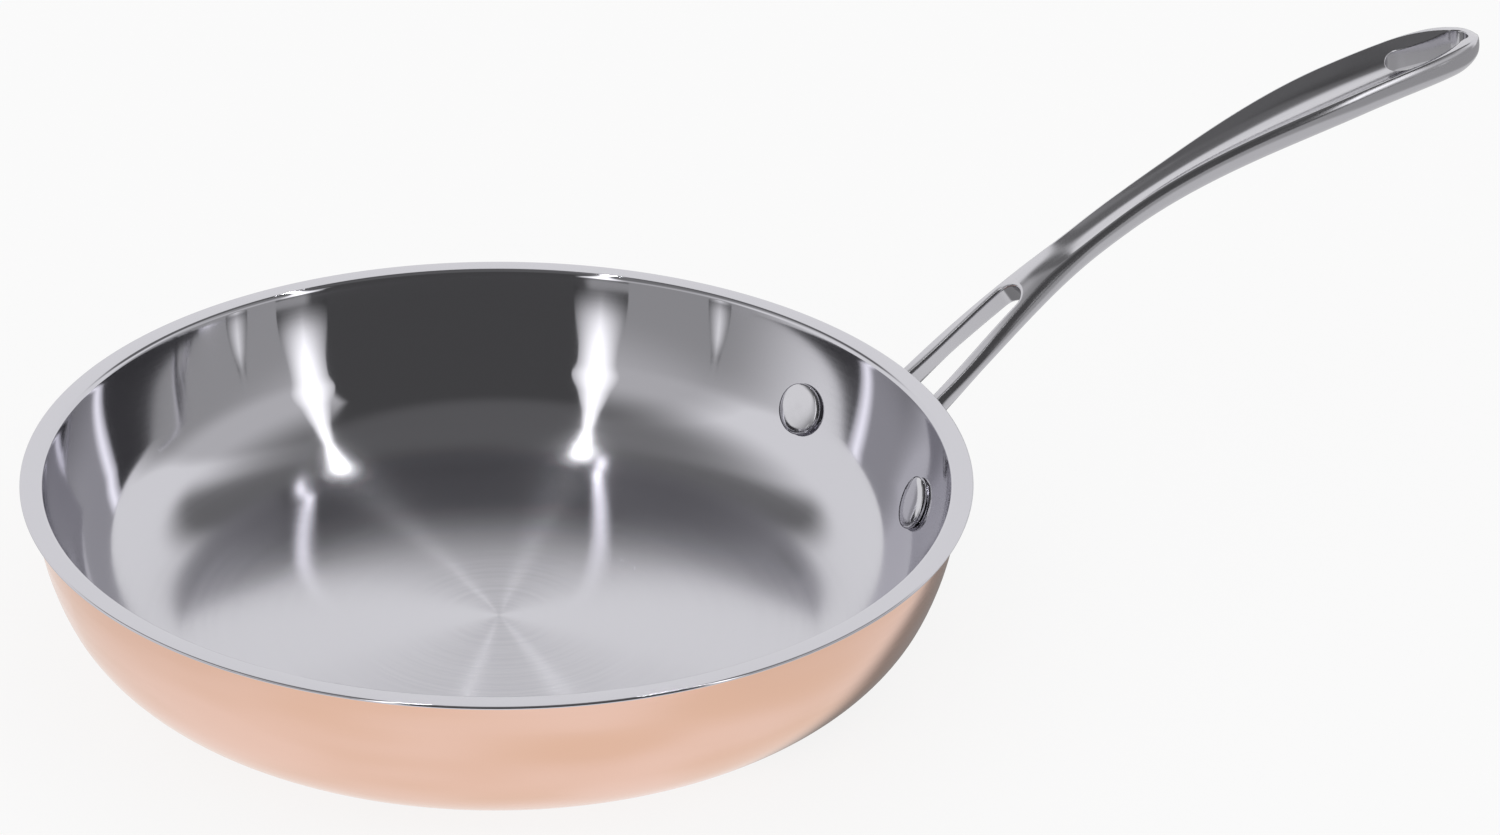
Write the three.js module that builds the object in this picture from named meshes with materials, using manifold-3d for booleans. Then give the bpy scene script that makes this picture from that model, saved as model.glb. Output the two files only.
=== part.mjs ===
// A flambé pan: a three-ply bowl of copper, aluminium and steel, with a cast handle held by two rivets.
// Millimetres, +Z up. The base stands on z = 0, the bowl turns about Z and the handle runs along +X.
import * as THREE from 'three';
import { mergeVertices } from 'three/addons/utils/BufferGeometryUtils.js';
import Module from 'manifold-3d';

// Bowl: sizes of its section
const RIM_DIAMETER = 240;
const BOWL_HEIGHT = 46.2;
const LIP_OVERHANG = 3.2;
const LIP_BEND = 0.4;
const WALL_BEND = 67;
const BASE_BEND = 33;
const COPPER_THICKNESS = 0.5;
const CORE_THICKNESS = 1;
const STEEL_THICKNESS = 0.8;
const BOND_GAP = 0.1;

// Rivets
const RIVET_SPACING = 61.5;
const RIVET_DROP = 23.2;
const SHANK_DIAMETER = 6;
const HEAD_DIAMETER = 14;
const HEAD_HEIGHT = 2.2;
const HEAD_EDGE = 0.6;
const TAIL_DIAMETER = 10;
const TAIL_HEIGHT = 2.4;
const TAIL_EDGE = 0.8;

// Handle: foot plate on the wall
const FOOT_HEIGHT = 18;
const FOOT_THICKNESS = 5.5;
const FOOT_END_THICKNESS = 3.5;
const FOOT_CROWN = 22;
const SPOT_FACE_MARGIN = 1.3;

// Handle: its upper line, from above the rivets to the tip
const LEG_LIFT = 10.4;
const LEG_ANGLE = 30;
const LEG_PULL = 41;
const HANDLE_REACH = 178.8;
const HANDLE_RISE = 65;
const TIP_ANGLE = 6.5;
const TIP_PULL = 124;

// Handle: widths and depths along that line, and where they lie beyond the rim or before the tip
const FORK_WIDTH = 21;
const NECK_WIDTH = 11;
const GRIP_WIDTH = 21.4;
const ROOT_FLARE = 4;
const ROOT_DEPTH = 6.2;
const LEG_DEPTH = 4.9;
const NECK_DEPTH = 6.6;
const GRIP_DEPTH = 9.4;
const FLARE_REACH = 8;
const SPREAD_REACH = 5;
const NECK_REACH = 54;
const DEEPEN_REACH = 40;
const GRIP_REACH = 65;
const GRIP_BEFORE_TIP = 44;
const TIP_ROUNDING = 12;
const TIP_FALL = 1.8;
const TIP_FULLNESS = 4.4;
const EDGE_INSET = 1.6;
const EDGE_DROP = 3;
const NECK_CROWN = 1.2;

// Handle: fork, dish and hanging eye
const FORK_REACH = 33.7;
const FORK_GAP = 12.4;
const CROTCH_WIDTH = 8.6;
const DISH_REACH = 37;
const DISH_DEPTH = 3.2;
const DISH_FULL_BEFORE_TIP = 20;
const DISH_BORDER = 1.3;
const DISH_TIP_BORDER = 3.5;
const EYE_LENGTH = 25.8;
const EYE_WIDTH = 11.4;
const EYE_TIP_WIDTH = 6.6;
const EYE_TIP_BORDER = 3.2;

// Room kept where pieces meet
const SEAT_GAP = 0.3;
const SHANK_CLEARANCE = 0.3;

// Smoothness
const ROUND_STEPS = 60;
const BASE_STEPS = 6;
const WALL_STEPS = 3;
const LIP_STEPS = 2;
const RIVET_STEPS = 24;
const DOME_STEPS = 4;
const HANDLE_STEPS = 40;
const SECTION_STEPS = 12;
const DISH_STEPS = 8;
const MERGE_DISTANCE = 1e-4;

const wasm = await Module();
wasm.setup();

const { lerp, smoothstep, degToRad } = THREE.MathUtils;
const UP = new THREE.Vector3(0, 1, 0);

// Values worked out from the sizes above
const rimRadius = RIM_DIAMETER / 2;
const plyTop = BOWL_HEIGHT - STEEL_THICKNESS - LIP_BEND - BOND_GAP;
const linerInset = COPPER_THICKNESS + CORE_THICKNESS + 2 * BOND_GAP;
const wallThickness = linerInset + STEEL_THICKNESS;
const wallCentre = new THREE.Vector2(rimRadius - LIP_OVERHANG - WALL_BEND, BOWL_HEIGHT);
const joinAngle = Math.asin((BOWL_HEIGHT - BASE_BEND) / (WALL_BEND - BASE_BEND));
const baseCentre = new THREE.Vector2(wallCentre.x + (WALL_BEND - BASE_BEND) * Math.cos(joinAngle), BASE_BEND);

const seatAngle = Math.asin(RIVET_DROP / WALL_BEND);
const seatNormal = new THREE.Vector2(Math.cos(seatAngle), -Math.sin(seatAngle));
const seat = seatNormal.clone().multiplyScalar(WALL_BEND).add(wallCentre);
const rivetAngle = Math.asin(RIVET_SPACING / 2 / seat.x);

const tip = new THREE.Vector2(rimRadius + HANDLE_REACH, BOWL_HEIGHT + HANDLE_RISE);
const spreadX = rimRadius + SPREAD_REACH;
const crotchX = rimRadius + FORK_REACH;
const neckX = rimRadius + NECK_REACH;
const swellX = rimRadius + GRIP_REACH;
const gripX = tip.x - GRIP_BEFORE_TIP;
const deepenX = rimRadius + DEEPEN_REACH;
const dishStartX = rimRadius + DISH_REACH;
const dishFullX = tip.x - DISH_FULL_BEFORE_TIP;
const dishEndX = tip.x - DISH_TIP_BORDER;
const handleLine = makeHandleLine();

/** Points of an arc about `centre`, both ends included. Angles are in radians. */
function arc(centre, radius, from, to, steps) {
  return Array.from({ length: steps + 1 }, (_, i) => {
    const angle = lerp(from, to, i / steps);
    return new THREE.Vector2(centre.x + radius * Math.cos(angle), centre.y + radius * Math.sin(angle));
  });
}

/** A solid of revolution about Z. The profile starts and ends on the axis. */
function revolve(profile, steps = ROUND_STEPS) {
  return new THREE.LatheGeometry(profile, steps).rotateX(Math.PI / 2);
}

/** Turns a closed geometry into a solid that can be joined and cut. */
function toSolid(geometry) {
  const bare = geometry.clone();
  bare.deleteAttribute('normal');
  bare.deleteAttribute('uv');
  const merged = mergeVertices(bare, MERGE_DISTANCE);
  const corners = merged.index.array;
  const triangles = [];
  for (let i = 0; i < corners.length; i += 3) {
    const triangle = [corners[i], corners[i + 1], corners[i + 2]];
    if (new Set(triangle).size === 3) triangles.push(...triangle);
  }
  return new wasm.Manifold(new wasm.Mesh({
    numProp: 3,
    vertProperties: new Float32Array(merged.attributes.position.array),
    triVerts: new Uint32Array(triangles),
  }));
}

/** Turns a solid back into a geometry. */
function toGeometry(solid) {
  const mesh = solid.getMesh();
  const geometry = new THREE.BufferGeometry();
  geometry.setAttribute('position', new THREE.BufferAttribute(new Float32Array(mesh.vertProperties), 3));
  geometry.setIndex(new THREE.BufferAttribute(new Uint32Array(mesh.triVerts), 1));
  geometry.computeVertexNormals();
  return geometry;
}

/** The bowl's section, `inset` inside the copper's outer face, from the axis out and up to the height `top`. */
function bowlCurve(inset, top) {
  const topAngle = Math.asin((BOWL_HEIGHT - top) / (WALL_BEND - inset));
  return [
    new THREE.Vector2(0, inset),
    ...arc(baseCentre, BASE_BEND - inset, -Math.PI / 2, -joinAngle, BASE_STEPS),
    ...arc(wallCentre, WALL_BEND - inset, -joinAngle, -topAngle, WALL_STEPS).slice(1),
  ];
}

/** One of the two outer plies: a bowl of even thickness that ends under the lip. */
function outerPly(inset, thickness) {
  const outside = bowlCurve(inset, plyTop);
  const inside = bowlCurve(inset + thickness, plyTop).reverse();
  return revolve([...outside, ...inside]);
}

/** The inner ply: a bowl whose edge is turned out into a flat lip with a rounded edge. */
function linerPly() {
  const turnTop = BOWL_HEIGHT - STEEL_THICKNESS - LIP_BEND;
  const outside = bowlCurve(linerInset, turnTop);
  const inside = bowlCurve(linerInset + STEEL_THICKNESS, turnTop).reverse();
  const turn = new THREE.Vector2(outside.at(-1).x + LIP_BEND, turnTop);
  const edge = new THREE.Vector2(rimRadius - STEEL_THICKNESS / 2, BOWL_HEIGHT - STEEL_THICKNESS / 2);
  return revolve([
    ...outside,
    ...arc(turn, LIP_BEND, Math.PI, Math.PI / 2, LIP_STEPS).slice(1),
    ...arc(edge, STEEL_THICKNESS / 2, -Math.PI / 2, Math.PI / 2, 2 * LIP_STEPS),
    ...arc(turn, LIP_BEND + STEEL_THICKNESS, Math.PI / 2, Math.PI, LIP_STEPS).slice(0, -1),
    ...inside,
  ]);
}

/** Where a rivet crosses the copper's outer face, and the turn that lays local Y along the rivet, outwards. */
function rivetPlace(side) {
  const angle = side * rivetAngle;
  const outwards = new THREE.Vector3(
    seatNormal.x * Math.cos(angle),
    seatNormal.x * Math.sin(angle),
    seatNormal.y,
  );
  return {
    position: new THREE.Vector3(seat.x * Math.cos(angle), seat.x * Math.sin(angle), seat.y),
    quaternion: new THREE.Quaternion().setFromUnitVectors(UP, outwards),
  };
}

/** A plain cylinder along the rivet's line, between two distances from the copper's outer face. */
function rivetCylinder(side, radius, from, to) {
  const { position, quaternion } = rivetPlace(side);
  const place = new THREE.Matrix4().compose(position, quaternion, new THREE.Vector3(1, 1, 1));
  const cylinder = new THREE.CylinderGeometry(radius, radius, to - from, RIVET_STEPS);
  return cylinder.translate(0, (from + to) / 2, 0).applyMatrix4(place);
}

/** The hole that a rivet needs, through the bowl's wall and the handle's foot. */
function rivetHole(side) {
  const radius = SHANK_DIAMETER / 2 + SHANK_CLEARANCE;
  return toSolid(rivetCylinder(side, radius, -2 * wallThickness, 3 * FOOT_THICKNESS));
}

/** A low dome over a short straight edge, from its rim to its crown on the axis. `way` is 1 up or -1 down. */
function domeCurve(radius, edge, height, base, way) {
  const rise = height - edge;
  const round = (radius * radius + rise * rise) / (2 * rise);
  const centre = new THREE.Vector2(0, base + way * (height - round));
  const half = Math.asin(radius / round);
  const crown = (way * Math.PI) / 2;
  return [
    new THREE.Vector2(radius, base),
    ...arc(centre, round, crown - way * half, crown, DOME_STEPS),
  ];
}

/** How far the bowl's inner face has bent away from flat, `reach` below the rivets' line. */
function wallFall(reach) {
  const down = new THREE.Vector2(seatNormal.y, -seatNormal.x);
  const flat = seat.clone().addScaledVector(seatNormal, -wallThickness).addScaledVector(down, reach);
  return flat.distanceTo(baseCentre) - (BASE_BEND - wallThickness);
}

/** A rivet as set: domed head bent to the bowl's wall, shank, and domed tail outside the foot. */
function rivet() {
  const headBase = -(wallThickness + SEAT_GAP);
  const headRim = headBase - wallFall(HEAD_DIAMETER / 2);
  const tailBase = FOOT_END_THICKNESS + 2 * SEAT_GAP;
  const shank = SHANK_DIAMETER / 2;
  const head = domeCurve(HEAD_DIAMETER / 2, HEAD_EDGE, HEAD_HEIGHT, headRim, -1).reverse();
  const tail = domeCurve(TAIL_DIAMETER / 2, TAIL_EDGE, TAIL_HEIGHT, tailBase, 1);
  head[0].x = 0;
  tail.at(-1).x = 0;
  const profile = [
    ...head,
    new THREE.Vector2(shank, headBase),
    new THREE.Vector2(shank, tailBase),
    ...tail,
  ];
  return new THREE.LatheGeometry(profile, RIVET_STEPS);
}

/** The handle's upper line as a curve in X and Z, from inside the wall, above the rivets, to the tip. */
function makeHandleLine() {
  const legAngle = degToRad(LEG_ANGLE);
  const tipAngle = degToRad(TIP_ANGLE);
  const leg = new THREE.Vector2(Math.cos(legAngle), Math.sin(legAngle));
  const end = new THREE.Vector2(Math.cos(tipAngle), Math.sin(tipAngle));
  const root = new THREE.Vector2(seat.x, seat.y + LEG_LIFT);
  return new THREE.CubicBezierCurve(
    root,
    root.clone().addScaledVector(leg, LEG_PULL),
    tip.clone().addScaledVector(end, -TIP_PULL),
    tip,
  );
}

/** How far the rounded end has drawn in at x: 1 before it starts, 0 at its end. */
function endTaper(x, from, to, fullness) {
  const reach = THREE.MathUtils.clamp((x - from) / (to - from), 0, 1);
  return Math.sqrt(1 - reach ** fullness);
}

/** Half the handle's width at x: flared on the wall, wide at the fork, slim at the neck, widest in the grip. */
function halfWidth(x) {
  const flare = ROOT_FLARE * (1 - smoothstep(x, seat.x, rimRadius + FLARE_REACH)) ** 2;
  const fork = lerp(FORK_WIDTH, NECK_WIDTH, smoothstep(x, spreadX, neckX));
  const grip = smoothstep(x, swellX, gripX) * (GRIP_WIDTH - NECK_WIDTH);
  return flare + ((fork + grip) / 2) * endTaper(x, gripX, tip.x, TIP_FULLNESS);
}

/** How much of the handle's full depth is left at x, where its tip is rounded off above and below. */
function tipTaper(x) {
  return endTaper(x, tip.x - TIP_ROUNDING, tip.x, 2);
}

/** The handle's depth at x, from its top to its underside. */
function depth(x) {
  const root = (ROOT_DEPTH - LEG_DEPTH) * (1 - smoothstep(x, rimRadius, (rimRadius + crotchX) / 2));
  const stem = root + lerp(LEG_DEPTH, NECK_DEPTH, smoothstep(x, spreadX, neckX));
  const grip = smoothstep(x, deepenX, gripX) * (GRIP_DEPTH - NECK_DEPTH);
  return (stem + grip) * tipTaper(x);
}

/** The dish's depth and half width at x. */
function dishAt(x) {
  const start = THREE.MathUtils.clamp((x - dishStartX) / (dishFullX - dishStartX), 0, 1);
  const end = endTaper(x, gripX, dishEndX, TIP_FULLNESS);
  const width = halfWidth(x);
  return {
    sink: DISH_DEPTH * start * end,
    half: Math.max(width * 0.4, (width - DISH_BORDER) * endTaper(x, gripX, dishEndX, 4)),
  };
}

/** A number's power that keeps its sign. */
function signedPower(value, power) {
  return Math.sign(value) * Math.abs(value) ** power;
}

/** How far the neck's top is rounded up over the upper line at x: it rises at the crotch and ends in the dish. */
function crownAt(x) {
  return NECK_CROWN * smoothstep(x, spreadX, crotchX) * (1 - smoothstep(x, dishStartX, neckX));
}

/** The handle's section at x as [across, up] pairs about the upper line: a rounded underside and a dished top. */
function handleSection(x) {
  const width = halfWidth(x);
  const deep = depth(x);
  const edge = Math.min(EDGE_DROP, deep / 2);
  const round = Math.min(EDGE_INSET, width / 4);
  const fall = TIP_FALL * (1 - tipTaper(x));
  const crown = crownAt(x);
  const { sink, half } = dishAt(x);
  const underside = Array.from({ length: SECTION_STEPS + 1 }, (_, i) => {
    const angle = (Math.PI * i) / SECTION_STEPS;
    const across = width * signedPower(Math.cos(angle), 0.75);
    return [across, -fall - edge - (deep - edge) * Math.sin(angle) ** 0.75];
  });
  const top = (across) => {
    const reach = Math.abs(across) / width;
    const turn = Math.max(0, 1 - (width - Math.abs(across)) / round);
    const rounding = edge * (1 - Math.sqrt(1 - turn ** 2));
    const hollow = sink * Math.max(0, 1 - (across / half) ** 2);
    return [across, crown * (1 - reach ** 2) - fall - rounding - hollow];
  };
  const dish = Array.from({ length: DISH_STEPS + 1 }, (_, i) => top(half * ((2 * i) / DISH_STEPS - 1)));
  const brink = [0.08, 0.35, 0.7].map((share) => width - share * round);
  return [
    ...underside,
    ...brink.map((across) => top(-across)),
    ...dish,
    ...brink.reverse().map((across) => top(across)),
  ];
}

/** A closed skin over a row of rings with equal point counts. */
function loft(rings) {
  const count = rings[0].length;
  const index = [];
  for (let i = 0; i + 1 < rings.length; i += 1) {
    for (let j = 0; j < count; j += 1) {
      const a = i * count + j;
      const b = i * count + ((j + 1) % count);
      index.push(a, a + count, b, b, a + count, b + count);
    }
  }
  const last = (rings.length - 1) * count;
  for (let j = 1; j + 1 < count; j += 1) {
    index.push(0, j, j + 1, last, last + j + 1, last + j);
  }
  const geometry = new THREE.BufferGeometry();
  geometry.setFromPoints(rings.flat());
  geometry.setIndex(index);
  return geometry;
}

/** The bar of the handle, from the wall to the tip, before its fork and eye are cut. */
function handleBar() {
  const rings = Array.from({ length: HANDLE_STEPS + 1 }, (_, i) => {
    const t = 0.9999 * Math.sin((Math.PI / 2) * (i / HANDLE_STEPS));
    const at = handleLine.getPoint(t);
    const along = handleLine.getTangent(t);
    return handleSection(at.x).map(([across, up]) => (
      new THREE.Vector3(at.x - up * along.y, across, at.y + up * along.x)
    ));
  });
  return toSolid(loft(rings));
}

/** The place on the handle's line where it passes x, as a matrix: local X along it, local Z out of its top. */
function handlePlace(x) {
  let low = 0;
  let high = 1;
  for (let i = 0; i < 40; i += 1) {
    const middle = (low + high) / 2;
    if (handleLine.getPoint(middle).x < x) low = middle;
    else high = middle;
  }
  const at = handleLine.getPoint(low);
  const along = handleLine.getTangent(low);
  const place = new THREE.Matrix4().makeBasis(
    new THREE.Vector3(along.x, 0, along.y),
    new THREE.Vector3(0, 1, 0),
    new THREE.Vector3(-along.y, 0, along.x),
  );
  return place.setPosition(at.x, 0, at.y);
}

/** A cutter with the given outline, set square through the handle at x. */
function handleCutter(outline, x) {
  const deep = 4 * GRIP_DEPTH;
  const cutter = new THREE.ExtrudeGeometry(outline, { depth: deep, bevelEnabled: false, curveSegments: 12 });
  return toSolid(cutter.translate(0, 0, -deep / 2).applyMatrix4(handlePlace(x)));
}

/** The gap between the legs: it narrows from the foot to a round crotch. */
function forkCutter() {
  const crotch = CROTCH_WIDTH / 2;
  const length = FORK_REACH + rimRadius - seat.x;
  const spread = (FORK_GAP - CROTCH_WIDTH) / 2 / FORK_REACH;
  const outline = new THREE.Shape();
  outline.moveTo(-length, -crotch - spread * length);
  outline.lineTo(-crotch, -crotch);
  outline.absarc(-crotch, 0, crotch, -Math.PI / 2, Math.PI / 2, false);
  outline.lineTo(-length, crotch + spread * length);
  return handleCutter(outline, crotchX);
}

/** The hanging eye: two round ends of different widths and the straight sides between them. */
function eyeCutter() {
  const wide = EYE_WIDTH / 2;
  const narrow = EYE_TIP_WIDTH / 2;
  const apart = EYE_LENGTH - wide - narrow;
  const lean = Math.asin((wide - narrow) / apart);
  const outline = new THREE.Shape();
  outline.absarc(-apart, 0, wide, Math.PI / 2 - lean, 1.5 * Math.PI + lean, false);
  outline.absarc(0, 0, narrow, lean - Math.PI / 2, Math.PI / 2 - lean, false);
  return handleCutter(outline, tip.x - EYE_TIP_BORDER - narrow);
}

/** The foot plate: a crowned pad that thins towards its two round ends. The bowl is cut from it later. */
function footPlate() {
  const rivetY = RIVET_SPACING / 2;
  const outline = new THREE.Shape();
  outline.absarc(rivetY, 0, FOOT_HEIGHT / 2, -Math.PI / 2, Math.PI / 2, false);
  outline.absarc(-rivetY, 0, FOOT_HEIGHT / 2, Math.PI / 2, 1.5 * Math.PI, false);
  const pad = new THREE.ExtrudeGeometry(outline, { depth: 2 * rimRadius, bevelEnabled: false, curveSegments: 10 });
  const upright = new THREE.Matrix4().makeBasis(
    new THREE.Vector3(0, 1, 0),
    new THREE.Vector3(0, 0, 1),
    new THREE.Vector3(1, 0, 0),
  );
  pad.applyMatrix4(upright).translate(0, 0, seat.y);
  return toSolid(pad).intersect(footCrown());
}

/** The round that gives the foot its outer face. Its own upright axis makes the foot thin towards its ends. */
function footCrown() {
  const middle = seat.x + (SEAT_GAP + FOOT_THICKNESS) / seatNormal.x;
  const end = seat.x + (SEAT_GAP + FOOT_END_THICKNESS) / seatNormal.x;
  const axis = (middle ** 2 - end ** 2) / (2 * (middle - end * Math.cos(rivetAngle)));
  const crest = new THREE.Vector2(middle - axis, seat.y);
  const centre = crest.clone().addScaledVector(seatNormal, -FOOT_CROWN);
  const half = Math.asin(Math.min(0.95, (0.7 * FOOT_HEIGHT) / FOOT_CROWN));
  const face = arc(centre, FOOT_CROWN, -seatAngle - half, -seatAngle + half, 8);
  const profile = [
    new THREE.Vector2(0, face[0].y),
    ...face,
    new THREE.Vector2(0, face.at(-1).y),
  ];
  return toSolid(revolve(profile).translate(axis, 0, 0));
}

/** The room that the bowl's outside takes up, with the seat's gap round it. */
function bowlRoom() {
  const outside = bowlCurve(-SEAT_GAP, BOWL_HEIGHT);
  return toSolid(revolve([...outside, new THREE.Vector2(0, BOWL_HEIGHT)]));
}

/** The flat round seat that a rivet's tail is set on. */
function spotFace(side) {
  const face = SEAT_GAP + FOOT_END_THICKNESS;
  const radius = TAIL_DIAMETER / 2 + SPOT_FACE_MARGIN;
  return toSolid(rivetCylinder(side, radius, face, face + 2 * FOOT_THICKNESS));
}

/** The whole handle: bar and foot in one casting, with its fork, eye, rivet holes and seats. */
function handle() {
  let solid = handleBar().subtract(forkCutter()).subtract(eyeCutter());
  solid = solid.add(footPlate()).subtract(bowlRoom());
  for (const side of [1, -1]) {
    solid = solid.subtract(rivetHole(side)).subtract(spotFace(side));
  }
  return toGeometry(solid);
}

/** A ply with its two rivet holes. */
function drilled(ply) {
  return toGeometry([1, -1].reduce((solid, side) => solid.subtract(rivetHole(side)), toSolid(ply)));
}

/** A named piece with its own material. */
function piece(name, geometry, color, roughness) {
  const mesh = new THREE.Mesh(geometry, new THREE.MeshStandardMaterial({ color, roughness, metalness: 1 }));
  mesh.name = name;
  return mesh;
}

/** A rivet in its place. */
function placedRivet(name, side) {
  const mesh = piece(name, rivet(), 0xc4c4ca, 0.15);
  const { position, quaternion } = rivetPlace(side);
  mesh.position.copy(position);
  mesh.quaternion.copy(quaternion);
  return mesh;
}

const pan = new THREE.Group();
pan.add(
  piece('copper_shell', drilled(outerPly(0, COPPER_THICKNESS)), 0xe2b294, 0.2),
  piece('aluminium_core', drilled(outerPly(COPPER_THICKNESS + BOND_GAP, CORE_THICKNESS)), 0xb9bbbf, 0.5),
  piece('steel_liner', drilled(linerPly()), 0xcac9cf, 0.12),
  piece('handle', handle(), 0xbdbdc4, 0.18),
  placedRivet('rivet_left', 1),
  placedRivet('rivet_right', -1),
);

export default pan;
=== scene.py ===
"""A flambé pan as an add-on: three spun plies, a cast handle and two rivets, on a white studio floor.

Metres, +Z up. The base stands on z = 0, the bowl turns about Z and the handle runs along +X.
"""
import math
from types import SimpleNamespace

import bmesh
import bpy
import numpy as np
from bpy.props import FloatProperty, FloatVectorProperty, PointerProperty
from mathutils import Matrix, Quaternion, Vector


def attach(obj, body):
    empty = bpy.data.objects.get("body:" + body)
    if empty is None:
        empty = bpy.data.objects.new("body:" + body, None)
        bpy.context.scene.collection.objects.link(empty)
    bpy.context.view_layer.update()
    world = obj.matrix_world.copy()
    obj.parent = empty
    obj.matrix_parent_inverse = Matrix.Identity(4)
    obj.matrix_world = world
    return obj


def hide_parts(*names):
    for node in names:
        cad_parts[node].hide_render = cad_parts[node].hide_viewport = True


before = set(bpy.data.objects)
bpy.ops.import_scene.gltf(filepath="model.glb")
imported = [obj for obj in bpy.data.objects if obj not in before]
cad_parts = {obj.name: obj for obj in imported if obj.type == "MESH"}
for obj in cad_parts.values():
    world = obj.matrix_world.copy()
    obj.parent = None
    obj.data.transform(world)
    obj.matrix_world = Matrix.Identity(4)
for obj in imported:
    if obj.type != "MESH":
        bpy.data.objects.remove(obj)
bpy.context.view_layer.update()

bl_info = {
    "name": "Flambé pan",
    "version": (1, 0, 0),
    "blender": (4, 5, 0),
    "location": "3D View > Sidebar > Flambé pan",
    "description": "Builds a three-ply copper pan with a riveted cast handle",
    "category": "Add Mesh",
}

MM = 0.001

# Smoothness of the surfaces
ROUND_STEPS = 256
BEND_STEPS = 28
LIP_STEPS = 8
RIVET_ROUND_STEPS = 64
TOP_COLUMNS = 28
UNDER_COLUMNS = 30
WALL_ROWS = 9
FLAT_STEPS = 9
EDGE_COLUMNS = 8
HEAD_STEPS = 20
TAIL_STEPS = 16
LINE_STEPS = 4000
LEG_STATIONS = 26
GRIP_STATIONS = 110
EYE_STATIONS = 14
SLOT_END_STATIONS = 15
STATION_DIGITS = 9
FOOT_ROUND_STEPS = 40
FOOT_STRAIGHT_COLUMNS = 30
FOOT_INNER_ROWS = 12
FOOT_EDGE_ROWS = 9
FOOT_OUTER_ROWS = 14

# Closer points become one, and smaller differences of length or width don't count
WELD = 2e-6
SAME_PLACE = 1e-9
LEAST_WIDTH = 1e-7


def length(name, description, millimetres):
    """A length of the part, given in millimetres and kept in metres."""
    return FloatProperty(
        name=name, description=description, default=millimetres * MM, subtype="DISTANCE", unit="LENGTH"
    )


def angle(name, description, degrees):
    """An angle of the part, given in degrees and kept in radians."""
    return FloatProperty(
        name=name, description=description, default=math.radians(degrees), subtype="ANGLE", unit="ROTATION"
    )


def linear(code):
    """The linear colour of an sRGB hex value: each channel has its display curve taken off."""
    channels = [int(code[i:i + 2], 16) / 255 for i in (1, 3, 5)]
    return tuple(c / 12.92 if c <= 0.04045 else ((c + 0.055) / 1.055) ** 2.4 for c in channels)


def colour(name, description, code):
    """A colour of the part, given as an sRGB hex value."""
    return FloatVectorProperty(
        name=name, description=description, default=linear(code), size=3, min=0, max=1, subtype="COLOR"
    )


class PanBowlSizes(bpy.types.PropertyGroup):
    """Sizes of the bowl and its three plies"""
    rim_diameter: length("Rim diameter", "Across the lip's outer edge", 240)
    height: length("Height", "From the base to the lip's top", 46.2)
    lip_overhang: length("Lip overhang", "How far the lip stands out past the copper", 3.2)
    lip_bend: length("Lip bend", "Inside radius of the turn under the lip", 0.4)
    wall_bend: length("Wall bend", "Radius of the upper wall's section", 67)
    base_bend: length("Base bend", "Radius of the section where the wall meets the base", 33)
    copper: length("Copper", "Thickness of the outer ply", 0.5)
    core: length("Core", "Thickness of the aluminium ply", 1)
    steel: length("Steel", "Thickness of the inner ply", 0.8)
    bond_gap: length("Bond gap", "Room between two plies", 0.1)


class PanRivetSizes(bpy.types.PropertyGroup):
    """Sizes of the two rivets and where they sit"""
    spacing: length("Spacing", "Between the two rivets, across the handle", 61.5)
    drop: length("Drop", "From the lip's top down to the rivets", 23.2)
    shank: length("Shank", "Diameter of the shank", 6)
    head: length("Head", "Diameter of the head inside the bowl", 14)
    head_height: length("Head height", "Height of the head over its rim", 2.2)
    tail: length("Tail", "Diameter of the tail on the foot", 10)
    tail_height: length("Tail height", "Height of the tail over its rim", 2.4)


class PanHandleSizes(bpy.types.PropertyGroup):
    """Sizes of the cast handle and its foot"""
    lift: length("Lift", "From the rivets up to the start of the upper line", 10.4)
    leg_angle: angle("Leg angle", "Slope of the upper line where it leaves the wall", 30)
    leg_pull: length("Leg pull", "How far that slope carries on", 41)
    reach: length("Reach", "From the rim out to the tip", 178.8)
    rise: length("Rise", "From the lip's top up to the tip", 65)
    tip_angle: angle("Tip angle", "Slope of the upper line at the tip", 6.5)
    tip_pull: length("Tip pull", "How far back that slope reaches", 124)
    fork_width: length("Fork width", "Across the two legs", 21)
    neck_width: length("Neck width", "Across the neck, where it is slimmest", 11)
    grip_width: length("Grip width", "Across the grip, where it is widest", 21.4)
    leg_depth: length("Leg depth", "Depth of the legs", 4.9)
    neck_depth: length("Neck depth", "Depth of the neck", 6.6)
    grip_depth: length("Grip depth", "Depth of the grip", 9.4)
    crotch_width: length("Crotch width", "Width of the fork's gap at its round end", 8.6)
    fork_gap: length("Fork gap", "Width of the fork's gap at the rim", 12.4)
    dish_depth: length("Dish depth", "Depth of the hollow along the grip", 3.2)
    dish_border: length("Dish border", "Width of the raised edge beside the hollow", 1.3)
    eye_length: length("Eye length", "Length of the hanging eye", 25.8)
    eye_width: length("Eye width", "Width of the eye's round end in the grip", 11.4)
    eye_tip_width: length("Eye tip width", "Width of the eye's round end at the tip", 6.6)
    foot_height: length("Foot height", "Height of the pad on the wall", 18)
    foot_thickness: length("Foot thickness", "Thickness of the pad in its middle", 5.5)
    foot_end: length("Foot end", "Thickness of the pad at the rivets", 3.5)


class PanFinishes(bpy.types.PropertyGroup):
    """Colours of the metals"""
    copper: colour("Copper", "Polished copper", "#EBC5B4")
    copper_deep: colour("Copper, deep", "Copper where the polish has warmed it", "#E3BAA3")
    steel: colour("Steel", "Mirror-polished steel of the bowl", "#CAC9CF")
    handle: colour("Handle", "Polished cast steel of the handle", "#C9C8CD")
    rivet: colour("Rivet", "Burnished steel of the rivets", "#CBCACF")
    core: colour("Core", "Rolled aluminium between the plies", "#B9BBBF")


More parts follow.
